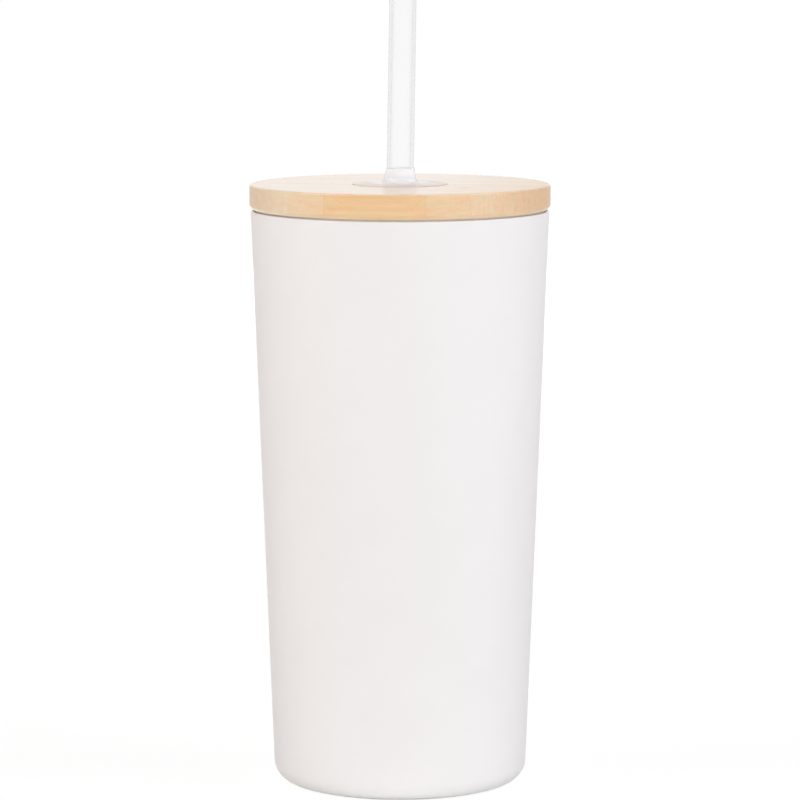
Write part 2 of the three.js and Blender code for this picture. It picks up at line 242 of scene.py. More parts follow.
# White plastic
PLASTIC_TONES = (colour(0.83, 0.83, 0.81), colour(0.86, 0.86, 0.845))
PLASTIC_GLOSS = (0.36, 0.48)
PLASTIC_SATIN = 0.18 * MM
PLASTIC_CLOUD = 12.0 * MM
PLASTIC_RELIEF = 0.012 * MM

# Silicone: milky in the thick collar; painted light lightens the collar's tip over the shade inside it,
# and the brim is painted with the bamboo's warm colour as if seen through it
SILICONE_TONES = (colour(0.785, 0.805, 0.825), colour(0.815, 0.835, 0.855))
# Painted light: the bamboo's warm colour as seen through the thin brim
SILICONE_BRIM_PAINTED_LIGHT = colour(0.985, 0.965, 0.945)
# Painted light: the collar's top is lightened to lift the shade inside its rim
SILICONE_TIP_PAINTED_LIGHT = colour(0.935, 0.935, 0.94)
SILICONE_GLOSS = (0.14, 0.28)
SILICONE_CLOUD = 4.0 * MM
SILICONE_DEPTH = 1.2 * MM
SILICONE_RELIEF = 0.02 * MM
# How far down from the collar's top the painted light reaches
SILICONE_PAINTED_LIGHT_REACH = 2.6 * MM

# Clear plastic: painted shade, darker where a glance runs along its wall
CLEAR_TONES = (colour(0.995, 0.996, 0.998), colour(0.998, 0.999, 1.0))
CLEAR_EDGE_PAINTED_SHADE = colour(0.785, 0.785, 0.79)
CLEAR_EDGE_SHADE_RANGE = (0.2, 0.65)
CLEAR_GLOSS = (0.0, 0.02)
CLEAR_ABSORPTION = 46.0
DRAW_STRETCH = (1.0, 1.0, 0.01)
DRAW_LINE = 0.5 * MM

# Solder glass
GLASS_TONES = (colour(0.10, 0.095, 0.085), colour(0.19, 0.18, 0.165))
GLASS_GLOSS = (0.18, 0.34)
GLASS_CLOUD = 1.4 * MM
BUBBLE_SPACING = 0.7 * MM
BUBBLE_RANGE = (0.05, 0.25)
GLASS_RELIEF = 0.03 * MM

# Getter powder
POWDER_TONES = (colour(0.05, 0.048, 0.045), colour(0.13, 0.125, 0.115))
POWDER_GLOSS = (0.7, 0.9)
POWDER_GRIT = 0.22 * MM
POWDER_RELIEF = 0.05 * MM

# Camera
CAMERA_PLACE = (0.0, -1.258, 0.2672)
CAMERA_DOWN = 0.1221
CAMERA_LENS = 194.0

# Floor and surroundings
FLOOR_SIZE = 60.0
FLOOR_SHADE = grey(0.14)
FLOOR_BOUNCE = grey(0.95)
FLOOR_GLOW = (0.9, 1.0)
GLOW_REACH = (1.2, 1.6)
SKY_LEVEL = 0.12
SKY_WHITE = 1.0

# Lamps: turn from the front and rise in degrees, height in metres, power in watts
LAMP_DISTANCE = 1.7
LAMP_WIDTH = 1.3
WARM_WHITE = (1.0, 0.9, 0.85)
COOL_WHITE = (0.985, 0.95, 0.98)
PLAIN_WHITE = (1.0, 1.0, 1.0)
LAMPS = {
    "left_softbox": {
        "turn": -74, "rise": 40, "height": 1.3, "power": 14.6, "tone": WARM_WHITE, "mirrored": True,
    },
    "front_softbox": {
        "turn": 2, "rise": 7, "height": 0.35, "power": 11.2, "tone": PLAIN_WHITE, "mirrored": False,
    },
    "right_softbox": {
        "turn": 74, "rise": 40, "height": 1.3, "power": 15.6, "tone": COOL_WHITE, "mirrored": True,
    },
    "back_softbox": {
        "turn": 180, "rise": 8, "height": 0.6, "power": 13.0, "tone": PLAIN_WHITE, "mirrored": False,
    },
}


def wall(level, depth):
    """Radius at a level of the tapered surface that lies a depth inside the cup's outside."""
    return BASE_RADIUS + TAPER * (level - TABLE) - depth


def reach(radius):
    """How far a round between the tapered wall and a level floor runs along each of them."""
    corner = math.pi / 2 + math.atan(TAPER)
    return radius / math.tan(corner / 2)


def turned(outline, steps, closed=True):
    """Spins an outline of (radius, level, corner round) about the axis; an open one ends on it."""
    bm = bmesh.new()
    corners = [bm.verts.new((radius, 0, level)) for radius, level, _ in outline]
    pairs = list(zip(corners, corners[1:]))
    if closed:
        pairs.append((corners[-1], corners[0]))
    for pair in pairs:
        bm.edges.new(pair)
    for corner, (_, _, size) in zip(corners, outline):
        if size:
            bmesh.ops.bevel(bm, geom=[corner], offset=size, offset_type="OFFSET", affect="VERTICES",
                            segments=ROUND_STEPS, profile=0.5, material=-1)
    bmesh.ops.spin(bm, geom=bm.verts[:] + bm.edges[:], cent=(0, 0, 0), axis=(0, 0, 1),
                   angle=2 * math.pi, steps=steps, use_merge=True)
    return bm


def piece(name, bm, body, node, material):
    """Finishes a mesh as a smooth piece that rides on a body and stands for a node."""
    bmesh.ops.remove_doubles(bm, verts=bm.verts[:], dist=WELD)
    bmesh.ops.recalc_face_normals(bm, faces=bm.faces[:])
    for face in bm.faces:
        face.smooth = True
    mesh = bpy.data.meshes.new(name)
    bm.to_mesh(mesh)
    bm.free()
    mesh.materials.append(material)
    made = bpy.data.objects.new(name, mesh)
    bpy.context.scene.collection.objects.link(made)
    even = made.modifiers.new("even_shading", "WEIGHTED_NORMAL")
    even.keep_sharp = False
    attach(made, body)
    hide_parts(node)
    return made


def painted_shell(material):
    """Outer wall, turned in under the foot and rolled over the lip."""
    lip = LINER_EDGE - STEEL
    outline = [
        (FOOT_EYE, TABLE, BURR),
        (BASE_RADIUS, TABLE, reach(FOOT_ROUND)),
        (MOUTH_RADIUS, CUP_TOP, LIP_ROUND),
        (lip, CUP_TOP, LIP_ROUND),
        (lip, LIP_UNDERSIDE, 0),
        (wall(LIP_UNDERSIDE, STEEL), LIP_UNDERSIDE, 0),
        (wall(TABLE + STEEL, STEEL), TABLE + STEEL, reach(FOOT_ROUND - STEEL)),
        (FOOT_EYE, TABLE + STEEL, BURR),
    ]
    bm = turned(outline, WIDE_STEPS)
    piece("painted_shell", bm, "cup", "outer_shell", material)


def steel_liner(material):
    """Inner wall with a round-cornered floor, flared to meet the lip."""
    floor = LINER_UNDERSIDE + STEEL
    outside = STEEL + VACUUM_GAP
    inside = outside + STEEL
    flare = LIP_UNDERSIDE - MOUTH_FLARE
    outline = [
        (0, LINER_UNDERSIDE, 0),
        (wall(LINER_UNDERSIDE, outside), LINER_UNDERSIDE, reach(FLOOR_ROUND + STEEL)),
        (wall(flare, outside), flare, FLARE_ROUND),
        (LINER_EDGE, LIP_UNDERSIDE, 0),
        (LINER_EDGE - STEEL, LIP_UNDERSIDE, 0),
        (wall(flare, inside), flare, FLARE_ROUND),
        (wall(floor, inside), floor, reach(FLOOR_ROUND)),
        (0, floor, 0),
    ]
    bm = turned(outline, WIDE_STEPS, closed=False)
    piece("steel_liner", bm, "cup", "inner_liner", material)


def base_plate(material):
    """Pressed disc in the foot, with a dimple round the pumping port."""
    under = [
        (PORT_RADIUS, DIMPLE_FACE, BURR),
        (DIMPLE_FLOOR, DIMPLE_FACE, PRESS_ROUND),
        (DIMPLE_EDGE, BASE_RECESS, PRESS_ROUND),
        (STEP_TOP, BASE_RECESS, PRESS_ROUND),
        (STEP_FOOT, BASE_RIM_LEVEL, PRESS_ROUND),
        (BASE_RIM, BASE_RIM_LEVEL, BURR),
    ]
    over = [(radius, level + STEEL, size) for radius, level, size in reversed(under)]
    bm = turned(under + over, WIDE_STEPS)
    piece("base_plate", bm, "cup", "base_disc", material)


def seal_bead(material):
    """Drop of solder glass that has run over the port and set a little lumpy."""
    drop = DIMPLE_FACE - BEAD_LOW
    stem = PORT_RADIUS - 2 * BURR
    bm = bmesh.new()
    bmesh.ops.create_uvsphere(bm, u_segments=BEAD_STEPS, v_segments=BEAD_RINGS, radius=BEAD_RADIUS)
    bmesh.ops.scale(bm, vec=(1, 1, drop / BEAD_RADIUS), verts=bm.verts[:])
    bmesh.ops.bisect_plane(bm, geom=bm.verts[:] + bm.edges[:] + bm.faces[:], dist=WELD,
                           plane_co=(0, 0, 0), plane_no=(0, 0, 1), clear_outer=True)
    rim = [edge for edge in bm.edges if edge.is_boundary]
    cap = bmesh.ops.contextual_create(bm, geom=rim)["faces"]
    bmesh.ops.inset_region(bm, faces=cap, thickness=BEAD_RADIUS - stem, use_even_offset=True)
    top = bmesh.ops.extrude_discrete_faces(bm, faces=cap)["faces"]
    bmesh.ops.translate(bm, vec=(0, 0, BEAD_TOP - DIMPLE_FACE), verts=top[0].verts[:])
    bmesh.ops.translate(bm, vec=(0, 0, DIMPLE_FACE), verts=bm.verts[:])
    for vert in bm.verts:
        depth = max(0.0, DIMPLE_FACE - vert.co.z) / drop
        lump = noise.noise(vert.co / BEAD_LUMP_SIZE) * BEAD_LUMP_HEIGHT * depth
        vert.co.z += abs(lump)
    piece("seal_bead", bm, "cup", "port_bead", material)


def bamboo_disc(material):
    """Board turned to a disc, sanded at every edge and bevelled under the rim."""
    outline = [
        (LID_HOLE, DECK, SANDED),
        (LID_RADIUS - LID_BEVEL_WIDTH, DECK, SANDED),
        (LID_RADIUS, DECK + LID_BEVEL_HEIGHT, SANDED),
        (LID_RADIUS, LID_TOP, LID_TOP_ROUND),
        (LID_HOLE, LID_TOP, SANDED),
    ]
    bm = turned(outline, WIDE_STEPS)
    piece("bamboo_disc", bm, "lid", "bamboo_lid", material)


def plug_ribs(inside, floor, top):
    """Radial ribs between the plug's boss and skirt, rooted half a wall deep."""
    start = BOSS_RADIUS - PLUG_WALL / 2
    end = inside + PLUG_WALL / 2
    foot = floor - PLUG_WALL / 2
    bm = bmesh.new()
    bmesh.ops.create_cube(bm, size=1)
    bmesh.ops.scale(bm, vec=(end - start, RIB_THICKNESS, top - foot), verts=bm.verts[:])
    bmesh.ops.translate(bm, vec=((start + end) / 2, 0, (foot + top) / 2), verts=bm.verts[:])
    turn = 2 * math.pi * (RIB_COUNT - 1) / RIB_COUNT
    bmesh.ops.spin(bm, geom=bm.verts[:] + bm.edges[:] + bm.faces[:], cent=(0, 0, 0), axis=(0, 0, 1),
                   angle=turn, steps=RIB_COUNT - 1, use_duplicate=True)
    return bm


def joined(bm, other):
    """One closed mesh of two overlapping ones."""
    objects = []
    for part in (bm, other):
        mesh = bpy.data.meshes.new("part")
        bmesh.ops.remove_doubles(part, verts=part.verts[:], dist=WELD)
        bmesh.ops.recalc_face_normals(part, faces=part.faces[:])
        part.to_mesh(mesh)
        part.free()
        objects.append(bpy.data.objects.new("part", mesh))
        bpy.context.scene.collection.objects.link(objects[-1])
    union = objects[0].modifiers.new("union", "BOOLEAN")
    union.operation = "UNION"
    union.solver = "EXACT"
    union.object = objects[1]
    bpy.context.view_layer.update()
    depsgraph = bpy.context.evaluated_depsgraph_get()
    whole = bmesh.new()
    whole.from_object(objects[0], depsgraph)
    for made in objects:
        bpy.data.meshes.remove(made.data)
    return whole


def plug_moulding(material):
    """Hollow plug: hoop under the bamboo, cone in the flare, grooved skirt, ribbed floor, boss."""
    flare = LIP_UNDERSIDE - MOUTH_FLARE
    inside = GROOVE_ROOT - PLUG_WALL
    floor = PLUG_FOOT + PLUG_WALL
    groove_top = GROOVE_BOTTOM + GROOVE_HEIGHT
    corners = [
        (BOSS_BORE, PLUG_FOOT),
        (SKIRT_RADIUS - PLUG_LEAD, PLUG_FOOT),
        (SKIRT_RADIUS, PLUG_FOOT + PLUG_LEAD),
        (SKIRT_RADIUS, GROOVE_BOTTOM),
        (GROOVE_ROOT, GROOVE_BOTTOM),
        (GROOVE_ROOT, groove_top),
        (SKIRT_RADIUS, groove_top),
        (SKIRT_RADIUS, flare),
        (PLUG_HOOP, LIP_UNDERSIDE),
        (PLUG_HOOP, DECK),
        (PLUG_HOOP - PLUG_WALL, DECK),
        (PLUG_HOOP - PLUG_WALL, LIP_UNDERSIDE),
        (inside, flare),
        (inside, floor),
        (BOSS_RADIUS, floor),
        (BOSS_RADIUS, BOSS_TOP),
        (BOSS_BORE, BOSS_TOP),
    ]
    outline = [(radius, level, MOULD_ROUND) for radius, level in corners]
    bm = joined(turned(outline, WIDE_STEPS), plug_ribs(inside, floor, flare))
    piece("plug_moulding", bm, "lid", "lid_plug", material)


def wiper_ring(material):
    """Seal ring with lips that sweep up and out to the liner."""
    pitch = (RING_TOP - GROOVE_BOTTOM) / RING_LIPS
    corners = [(RING_BORE, GROOVE_BOTTOM), (SKIRT_RADIUS, GROOVE_BOTTOM)]
    for lip in range(RING_LIPS):
        root = GROOVE_BOTTOM + pitch * (lip + 0.5) - RING_LIP_ROOT / 2
        tip = root + RING_LIP_RISE
        edge = RING_REACH - TAPER * pitch * (RING_LIPS - 1 - lip)
        corners += [
            (SKIRT_RADIUS, root),
            (edge, tip),
            (edge, tip + RING_LIP_TIP),
            (SKIRT_RADIUS, root + RING_LIP_ROOT),
        ]
    corners += [(SKIRT_RADIUS, RING_TOP), (RING_BORE, RING_TOP)]
    outline = [(radius, level, SOFT_ROUND) for radius, level in corners]
    bm = turned(outline, WIDE_STEPS)
    piece("wiper_ring", bm, "seal", "seal_ring", material)


def straw_collar(material):
    """Soft grommet: brim on the bamboo, collar round the straw, sleeve and bulb through the lid."""
    outline = [
        (GRIP_RADIUS, BULB_LOW, SOFT_ROUND),
        (SLEEVE_RADIUS, BULB_LOW, SOFT_ROUND),
        (BULB_RADIUS, PLUG_FOOT - BULB_NOSE, SOFT_ROUND),
        (BULB_RADIUS, PLUG_FOOT, SOFT_ROUND),
        (SLEEVE_RADIUS, PLUG_FOOT, SOFT_ROUND),
        (SLEEVE_RADIUS, LID_TOP, SOFT_ROUND),
        (BRIM_RADIUS, LID_TOP, BRIM_ROUND),
        (BRIM_RADIUS, LID_TOP + BRIM_EDGE, BRIM_ROUND),
        (COLLAR_FOOT, LID_TOP + BRIM_THICKNESS, COLLAR_FILLET),
        (COLLAR_TIP, COLLAR_TOP, COLLAR_TIP_ROUND),
        (COLLAR_GRIP, COLLAR_TOP, COLLAR_GRIP_ROUND),
        (GRIP_RADIUS, COLLAR_TOP - COLLAR_GRIP_HEIGHT, SOFT_ROUND),
    ]
    bm = turned(outline, SMALL_STEPS)
    lean = Matrix.Identity(4)
    lean[0][2] = math.tan(STRAW_LEAN)
    level = Matrix.Translation((0, 0, -LID_TOP))
    throat = [vert for vert in bm.verts if Vector(vert.co.xy).length < COLLAR_REACH]
    bmesh.ops.transform(bm, matrix=level.inverted() @ lean @ level, verts=throat)
    made = piece("straw_collar", bm, "lid", "straw_grommet", material)
    made.visible_shadow = False


def clear_straw(material):
    """Straight tube with softened ends, leaning a little in its grommet."""
    tilt = math.cos(STRAW_LEAN)
    overhang = STRAW_RADIUS * math.sin(STRAW_LEAN)
    low = LID_TOP + (STRAW_LOW + overhang - LID_TOP) / tilt
    high = LID_TOP + (STRAW_HIGH - overhang - LID_TOP) / tilt
    outline = [
        (STRAW_BORE, low, STRAW_EDGE),
        (STRAW_RADIUS, low, STRAW_EDGE),
        (STRAW_RADIUS, high, STRAW_EDGE),
        (STRAW_BORE, high, STRAW_EDGE),
    ]
    bm = turned(outline, SMALL_STEPS)
    lean = Matrix.Rotation(STRAW_LEAN, 3, "Y")
    bmesh.ops.rotate(bm, cent=(0, 0, LID_TOP), matrix=lean, verts=bm.verts[:])
    made = piece("clear_straw", bm, "straw", "straw", material)
    made.visible_shadow = False


def feed(tree, socket, value):
    """Links a node's output to a socket, or sets a constant on it."""
    if isinstance(value, bpy.types.NodeSocket):
        tree.links.new(value, socket)
    else:
        socket.default_value = value


def add(tree, kind, inputs=None, **settings):
    """Adds a shader node; each input is a constant, or another node's output to link."""
    made = tree.nodes.new("ShaderNode" + kind)
    for name, value in settings.items():
        setattr(made, name, value)
    for socket, value in (inputs or {}).items():
        feed(tree, made.inputs[socket], value)
    return made


def finish(name, **sockets):
    """A new material: its tree, its shader with these constant sockets, and the piece's coordinates."""
    material = bpy.data.materials.new(name)
    material.use_nodes = True
    tree = material.node_tree
    shader = tree.nodes["Principled BSDF"]
    for socket, value in sockets.items():
        shader.inputs[socket.replace("_", " ")].default_value = value
    place = add(tree, "TexCoord").outputs["Object"]
    return material, tree, shader, place


def math_node(tree, operation, first, second=0.0, third=0.0):
    """Works out a number from up to three others."""
    made = add(tree, "Math", {0: first, 1: second, 2: third}, operation=operation)
    return made.outputs[0]


def spread(tree, value, low, high, to_low=0.0, to_high=1.0):
    """Maps a value from one range to another, clamped."""
    made = add(tree, "MapRange", {"Value": value, "From Min": low, "From Max": high,
                                  "To Min": to_low, "To Max": to_high})
    return made.outputs["Result"]


def vary(tree, texture, low=0.0, high=1.0):
    """Maps a noise from its usual range to another."""
    return spread(tree, texture, *NOISE_RANGE, low, high)


def grain(tree, vector, size, detail=2.0, rough=0.5):
    """Noise whose features are about a size across."""
    made = add(tree, "TexNoise", {"Vector": vector, "Scale": 1 / size,
                                  "Detail": detail, "Roughness": rough})
    return made.outputs["Fac"]


def cells(tree, vector, size):
    """Distance from the middle of the nearest cell, the cells being about a size across."""
    return add(tree, "TexVoronoi", {"Vector": vector, "Scale": 1 / size}).outputs["Distance"]


def stretched(tree, vector, factors, shift=None):
    """A vector scaled on each axis, then shifted."""
    scaled = add(tree, "VectorMath", {0: vector, 1: factors}, operation="MULTIPLY").outputs["Vector"]
    if shift is None:
        return scaled
    return add(tree, "VectorMath", {0: scaled, 1: shift}, operation="ADD").outputs["Vector"]


def length(tree, vector):
    """How long a vector is."""
    return add(tree, "VectorMath", {0: vector}, operation="LENGTH").outputs["Value"]


def xyz(tree, vector):
    """The three parts of a vector."""
    return add(tree, "SeparateXYZ", {"Vector": vector}).outputs


def tint(tree, factor, first, second, blend="MIX"):
    """Mixes two colours by a factor."""
    made = add(tree, "Mix", {0: factor, 6: first, 7: second}, data_type="RGBA", blend_type=blend)
    return made.outputs[2]


def surface(tree, shader, tone, gloss):
    """Gives a shader its colour and its roughness."""
    feed(tree, shader.inputs["Base Color"], tone)
    feed(tree, shader.inputs["Roughness"], gloss)


def bump(tree, shader, height, depth, strength):
    """Gives a shader a fine relief of a depth."""
    made = add(tree, "Bump", {"Height": height, "Distance": depth, "Strength": strength})
    feed(tree, shader.inputs["Normal"], made.outputs["Normal"])


def white_coat():
    """Satin powder coat: faint orange peel, a breath of tone and gloss variation."""
    material, tree, shader, place = finish("white_coat", Specular_IOR_Level=0.25)
    peel = grain(tree, place, COAT_PEEL, detail=1.0)
    flow = grain(tree, place, COAT_FLOW)
    speck = grain(tree, place, COAT_SPECK, detail=0.0)
    tone = tint(tree, vary(tree, flow), *COAT_TONES)
    gloss = math_node(tree, "ADD", vary(tree, flow, *COAT_GLOSS), vary(tree, speck, *CLOUD_GLOSS))
    surface(tree, shader, tone, gloss)
    relief = math_node(tree, "MULTIPLY_ADD", speck, COAT_SPECK_HEIGHT, peel)
    bump(tree, shader, relief, COAT_RELIEF, strength=0.5)
    return material


def along_grain(tree, vector):
    """A vector turned so that X runs along the bamboo's grain and Y across its strips."""
    made = add(tree, "Mapping", {"Vector": vector, "Rotation": (0, 0, -GRAIN_ANGLE)})
    return made.outputs["Vector"]


def bamboo_strips(tree, across):
    """Place across its strip, from 0 to 1, with the strip's own chance and shift of the grain."""
    lane = math_node(tree, "MULTIPLY_ADD", across, 1 / STRIP_WIDTH, STRIP_COUNT_FROM)
    strip = math_node(tree, "FLOOR", lane)
    chance = add(tree, "TexWhiteNoise", {"W": strip}, noise_dimensions="1D").outputs
    shift = stretched(tree, chance["Color"], STRIP_SHIFT)
    return math_node(tree, "FRACT", lane), chance["Value"], shift


def bamboo_bundles(tree, board, side, pick, shift):
    """Cut ends of the fibre bundles: dots that grow from one edge of a strip to the other."""
    spots = cells(tree, stretched(tree, board, THREAD_STRETCH, shift), BUNDLE_SPACING)
    skin = math_node(tree, "PINGPONG", math_node(tree, "ADD", side, pick), 1.0)
    size = spread(tree, skin, 0.0, 1.0, *BUNDLE_RADII)
    return spread(tree, math_node(tree, "SUBTRACT", size, spots), 0.0, BUNDLE_BLUR)


def bamboo_knots(tree, board, along, pick):
    """A wavy band across each strip where the stem had a joint, mostly outside the lid."""
    scatter = math_node(tree, "FRACT", math_node(tree, "MULTIPLY", pick, KNOT_SCATTER))
    knot_at = spread(tree, scatter, 0.0, 1.0, *KNOT_PLACES)
    wave = grain(tree, board, KNOT_WAVE)
    bent = math_node(tree, "MULTIPLY_ADD", wave, KNOT_BEND, along)
    away = math_node(tree, "ABSOLUTE", math_node(tree, "SUBTRACT", bent, knot_at))
    return spread(tree, away, *KNOT_FADE, 1.0, 0.0)


def bamboo_fibre(tree, board, pick, shift, threads):
    """Colour along the grain: the strip's tone, broad bands, pale streaks and brown threads."""
    bands = grain(tree, stretched(tree, board, BAND_STRETCH), BAND_SIZE, rough=0.55)
    drawn_out = stretched(tree, board, STREAK_STRETCH, shift)
    streaks = grain(tree, drawn_out, STREAK_SIZE, detail=3.0, rough=0.6)
    strip_tone = tint(tree, pick, *STRIP_TONES)
    band_tone = tint(tree, spread(tree, bands, *BAND_RANGE), *BAND_TONES)
    honey = tint(tree, 1.0, strip_tone, band_tone, "MULTIPLY")
    pale = tint(tree, vary(tree, streaks, *STREAK_SHARE), honey, STREAK_TONE)
    return tint(tree, spread(tree, threads, *THREAD_RANGE, *THREAD_SHARE), pale, THREAD_TONE)


def bamboo_ends(tree, fibre, facing_along, endward):
    """The same colour where the strips are cut across: paler and cooler on the ends that face one way,
    darker on both ends from their own tone and painted shade.
    """
    # The ends that face one way along the board are made paler and cooler
    pale_end = spread(tree, facing_along, *PALE_END_FACING)
    pale_ended = tint(tree, pale_end, fibre, PALE_END_TONE, "MULTIPLY")
    # Painted shade together with the end grain's own darker tone, on the faces that look along the board
    end_grain_and_shade_tone = tint(tree, spread(tree, facing_along, *END_GRAIN_AND_SHADE_SIDES), *END_GRAIN_AND_SHADE_TONES)
    return tint(tree, spread(tree, endward, *END_GRAIN_AND_SHADE_FACING), pale_ended, end_grain_and_shade_tone, "MULTIPLY")


def bamboo():
    """Laminated bamboo board: glued strips, long soft streaks, end-grain rows and dots, a few knots."""
    material, tree, shader, place = finish("bamboo", IOR=1.45, Coat_Roughness=0.14)
    board = along_grain(tree, place)
    along, across, _ = xyz(tree, board)
    outward = along_grain(tree, add(tree, "TexCoord").outputs["Normal"])
    facing_along, _, facing_up = xyz(tree, outward)
    endward = math_node(tree, "ABSOLUTE", facing_along)
    end_grain = spread(tree, endward, *END_FACING)

    side, pick, shift = bamboo_strips(tree, across)
    off_middle = math_node(tree, "ABSOLUTE", math_node(tree, "SUBTRACT", side, 0.5))
    glue = spread(tree, off_middle, *GLUE_EDGE)
    knot = bamboo_knots(tree, board, along, pick)
    threads = grain(tree, stretched(tree, board, THREAD_STRETCH, shift), THREAD_SIZE, rough=0.6)
    rows = grain(tree, stretched(tree, board, ROW_STRETCH, shift), ROW_SIZE, rough=0.6)
    end_rows = math_node(tree, "MULTIPLY", spread(tree, rows, *ROW_RANGE), end_grain)
    bundles = bamboo_bundles(tree, board, side, pick, shift)
    end_dots = math_node(tree, "MULTIPLY", bundles, end_grain)

    fibre = bamboo_fibre(tree, board, pick, shift, threads)
    # Cut ends: paler on one end, and darkened on both by their own tone and painted shade
    tone = bamboo_ends(tree, fibre, facing_along, endward)
    marks = ((end_rows, ROW_MARK), (end_dots, BUNDLE_MARK), (knot, KNOT_MARK), (glue, GLUE_MARK))
    for shape, (share, dye) in marks:
        tone = tint(tree, math_node(tree, "MULTIPLY", shape, share), tone, dye)
    surface(tree, shader, tone, vary(tree, threads, *BAMBOO_GLOSS))

    oiled = spread(tree, math_node(tree, "ABSOLUTE", facing_up), *OIL_FACING, *OIL_WEIGHTS)
    worn = spread(tree, along, OIL_WEAR_START, LID_RADIUS, 1.0, OIL_LEFT)
    feed(tree, shader.inputs["Coat Weight"], math_node(tree, "MULTIPLY", oiled, worn))
    raised = math_node(tree, "MULTIPLY_ADD", knot, KNOT_HEIGHT, threads)
    bump(tree, shader, math_node(tree, "SUBTRACT", raised, end_dots), BAMBOO_RELIEF, strength=0.6)
    return material


def brushed_steel():
    """Stainless steel with fine brushing that runs round the axis."""
    material, tree, shader, place = finish("brushed_steel", Metallic=0.9, Anisotropic=0.3)
    x, y, z = xyz(tree, place)
    radius = length(tree, stretched(tree, place, (1, 1, 0)))
    run = math_node(tree, "MULTIPLY", math_node(tree, "ARCTAN2", y, x), BRUSH_RUN)
    rings = add(tree, "CombineXYZ", {0: radius, 1: z, 2: run}).outputs["Vector"]
    lines = grain(tree, rings, BRUSH_LINE, detail=3.0, rough=0.7)
    cloud = grain(tree, place, STEEL_CLOUD)
    tone = tint(tree, spread(tree, lines, *BRUSH_RANGE), *STEEL_TONES)
    gloss = math_node(tree, "ADD", vary(tree, lines, *STEEL_GLOSS), vary(tree, cloud, *CLOUD_GLOSS))
    surface(tree, shader, tone, gloss)
    round_axis = add(tree, "Tangent", direction_type="RADIAL", axis="Z").outputs["Tangent"]
    feed(tree, shader.inputs["Tangent"], round_axis)
    bump(tree, shader, lines, STEEL_RELIEF, strength=0.4)
    return material


def white_plastic():
    """Moulded white plastic with a fine spark-eroded satin."""
    material, tree, shader, place = finish("white_plastic", IOR=1.49)
    satin = grain(tree, place, PLASTIC_SATIN)
    cloud = grain(tree, place, PLASTIC_CLOUD)
    tone = tint(tree, vary(tree, cloud), *PLASTIC_TONES)
    surface(tree, shader, tone, vary(tree, satin, *PLASTIC_GLOSS))
    bump(tree, shader, satin, PLASTIC_RELIEF, strength=0.4)
    return material


def milky_silicone():
    """Soft translucent silicone, slightly cloudy."""
    material, tree, shader, place = finish(
        "milky_silicone", IOR=1.41, Transmission_Weight=0.3, Subsurface_Weight=0.8,
        Subsurface_Radius=(1.0, 1.0, 1.0), Subsurface_Scale=SILICONE_DEPTH)
    cloud = grain(tree, place, SILICONE_CLOUD, detail=3.0)
    level = xyz(tree, place)["Z"]
    # The brim's tone is painted light, the bamboo's colour as if seen through it
    above_brim = spread(tree, level, LID_TOP, LID_TOP + 2 * BRIM_THICKNESS)
    # Painted light: lightens the collar's top, where shade falls inside the rim
    tip_painted_light = spread(tree, level, COLLAR_TOP - SILICONE_PAINTED_LIGHT_REACH, COLLAR_TOP)
    milk = tint(tree, vary(tree, cloud), *SILICONE_TONES)
    tone = tint(tree, tip_painted_light, tint(tree, above_brim, SILICONE_BRIM_PAINTED_LIGHT, milk), SILICONE_TIP_PAINTED_LIGHT)
    smooth = spread(tree, above_brim, 0.0, 1.0, *SILICONE_GLOSS)
    surface(tree, shader, tone, math_node(tree, "ADD", smooth, vary(tree, cloud, *CLOUD_GLOSS)))
    bump(tree, shader, cloud, SILICONE_RELIEF, strength=0.3)
    return material


def clear_plastic():
    """Clear extruded plastic with faint draw lines along the tube."""
    material, tree, shader, place = finish("clear_plastic", IOR=1.49, Transmission_Weight=1.0)
    draw = grain(tree, stretched(tree, place, DRAW_STRETCH), DRAW_LINE)
    clear = tint(tree, vary(tree, draw), *CLEAR_TONES)
    # Painted shade: the wall is darkened where it is seen edge-on
    edge = add(tree, "LayerWeight", {"Blend": 0.5}).outputs["Facing"]
    tone = tint(tree, spread(tree, edge, *CLEAR_EDGE_SHADE_RANGE), clear, CLEAR_EDGE_PAINTED_SHADE)
    surface(tree, shader, tone, vary(tree, draw, *CLEAR_GLOSS))
    fog = add(tree, "VolumeAbsorption", {"Color": grey(0.0), "Density": CLEAR_ABSORPTION})
    feed(tree, tree.nodes["Material Output"].inputs["Volume"], fog.outputs["Volume"])
    return material


def solder_glass():
    """Dark fired glass with a few bubbles."""
    material, tree, shader, place = finish("solder_glass", IOR=1.6)
    cloud = grain(tree, place, GLASS_CLOUD, detail=3.0)
    tone = tint(tree, vary(tree, cloud), *GLASS_TONES)
    surface(tree, shader, tone, vary(tree, cloud, *GLASS_GLOSS))
    bubbles = spread(tree, cells(tree, place, BUBBLE_SPACING), *BUBBLE_RANGE)
    bump(tree, shader, bubbles, GLASS_RELIEF, strength=0.5)
    return material


def pressed_powder():
    """Dark sintered getter powder."""
    material, tree, shader, place = finish("pressed_powder", Metallic=0.3)
    grit = grain(tree, place, POWDER_GRIT, detail=3.0)
    tone = tint(tree, vary(tree, grit), *POWDER_TONES)
    surface(tree, shader, tone, vary(tree, grit, *POWDER_GLOSS))
    bump(tree, shader, grit, POWDER_RELIEF, strength=0.8)
    return material


def dress(node, material):
    """Gives a CAD node that no piece stands for its finish."""
    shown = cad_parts[node]
    shown.data.materials.clear()
    shown.data.materials.append(material)


def background_ray(tree):
    """1 for rays that show the background: seen straight, reflected, or through glass."""
    path = add(tree, "LightPath").outputs
    seen = math_node(tree, "MAXIMUM", path["Is Camera Ray"], path["Is Glossy Ray"])
    return math_node(tree, "MAXIMUM", seen, path["Is Transmission Ray"])


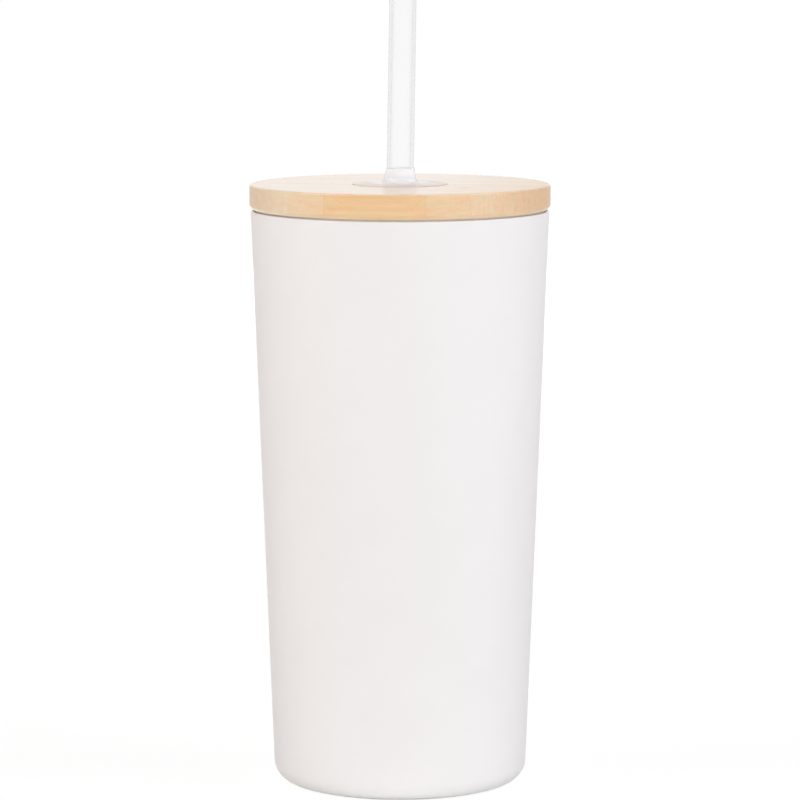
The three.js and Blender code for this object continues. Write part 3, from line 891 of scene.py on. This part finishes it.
def pale_floor():
    """Floor's finish: white to look at with the object's soft shadow, plainly pale as a reflector."""
    material = bpy.data.materials.new("pale_floor")
    material.use_nodes = True
    tree = material.node_tree
    tree.nodes.clear()
    shade = add(tree, "BsdfDiffuse", {"Color": FLOOR_SHADE}).outputs[0]
    away = length(tree, add(tree, "TexCoord").outputs["Object"])
    level = spread(tree, away, *GLOW_REACH, *FLOOR_GLOW)
    glow = add(tree, "Emission", {"Strength": level}).outputs[0]
    look = add(tree, "AddShader", {0: shade, 1: glow}).outputs[0]
    plain = add(tree, "BsdfDiffuse", {"Color": FLOOR_BOUNCE}).outputs[0]
    mixed = add(tree, "MixShader", {0: background_ray(tree), 1: plain, 2: look}).outputs[0]
    add(tree, "OutputMaterial", {"Surface": mixed})
    return material


def studio_floor(material):
    """Wide level floor under the cup."""
    bm = bmesh.new()
    bmesh.ops.create_grid(bm, x_segments=1, y_segments=1, size=FLOOR_SIZE / 2)
    mesh = bpy.data.meshes.new("floor")
    bm.to_mesh(mesh)
    bm.free()
    mesh.materials.append(material)
    floor = bpy.data.objects.new("floor", mesh)
    bpy.context.scene.collection.objects.link(floor)


def studio_sky():
    """Even white surroundings: full white to look at, a plain level as light."""
    world = bpy.data.worlds.new("studio")
    bpy.context.scene.world = world
    world.use_nodes = True
    tree = world.node_tree
    tree.nodes.clear()
    white = add(tree, "Background", {"Strength": SKY_WHITE, "Color": grey(1.0)}).outputs[0]
    light = add(tree, "Background", {"Strength": SKY_LEVEL, "Color": grey(1.0)}).outputs[0]
    mixed = add(tree, "MixShader", {0: background_ray(tree), 1: light, 2: white}).outputs[0]
    add(tree, "OutputWorld", {"Surface": mixed})


def softbox(name, turn, rise, height, power, tone, mirrored):
    """Area lamp that faces the cup; mirrored ones show in glossy finishes."""
    lamp = bpy.data.lights.new(name, "AREA")
    lamp.shape = "RECTANGLE"
    lamp.size = LAMP_WIDTH
    lamp.size_y = height
    lamp.energy = power
    lamp.color = tone
    azimuth = math.radians(turn)
    lift = math.radians(rise)
    level = LAMP_DISTANCE * math.cos(lift)
    aim = Vector((0, 0, CUP_TOP / 2))
    arm = Vector((level * math.sin(azimuth), -level * math.cos(azimuth), LAMP_DISTANCE * math.sin(lift)))
    made = bpy.data.objects.new(name, lamp)
    made.visible_glossy = mirrored
    made.visible_transmission = False
    made.location = aim + arm
    made.rotation_euler = (-arm).to_track_quat("-Z", "Y").to_euler()
    bpy.context.scene.collection.objects.link(made)


def camera():
    """Camera at the photograph's angle, looking slightly down."""
    data = bpy.data.cameras.new("camera")
    data.lens = CAMERA_LENS
    made = bpy.data.objects.new("camera", data)
    made.location = CAMERA_PLACE
    made.rotation_euler = (math.pi / 2 - CAMERA_DOWN, 0, 0)
    bpy.context.scene.collection.objects.link(made)
    bpy.context.scene.camera = made


steel = brushed_steel()
silicone = milky_silicone()
painted_shell(white_coat())
steel_liner(steel)
base_plate(steel)
seal_bead(solder_glass())
bamboo_disc(bamboo())
plug_moulding(white_plastic())
wiper_ring(silicone)
straw_collar(silicone)
clear_straw(clear_plastic())
dress("getter_tray", steel)
dress("getter_pellet", pressed_powder())

camera()
studio_floor(pale_floor())
studio_sky()
for name, settings in LAMPS.items():
    softbox(name, **settings)
bpy.context.scene.view_settings.view_transform = "Standard"
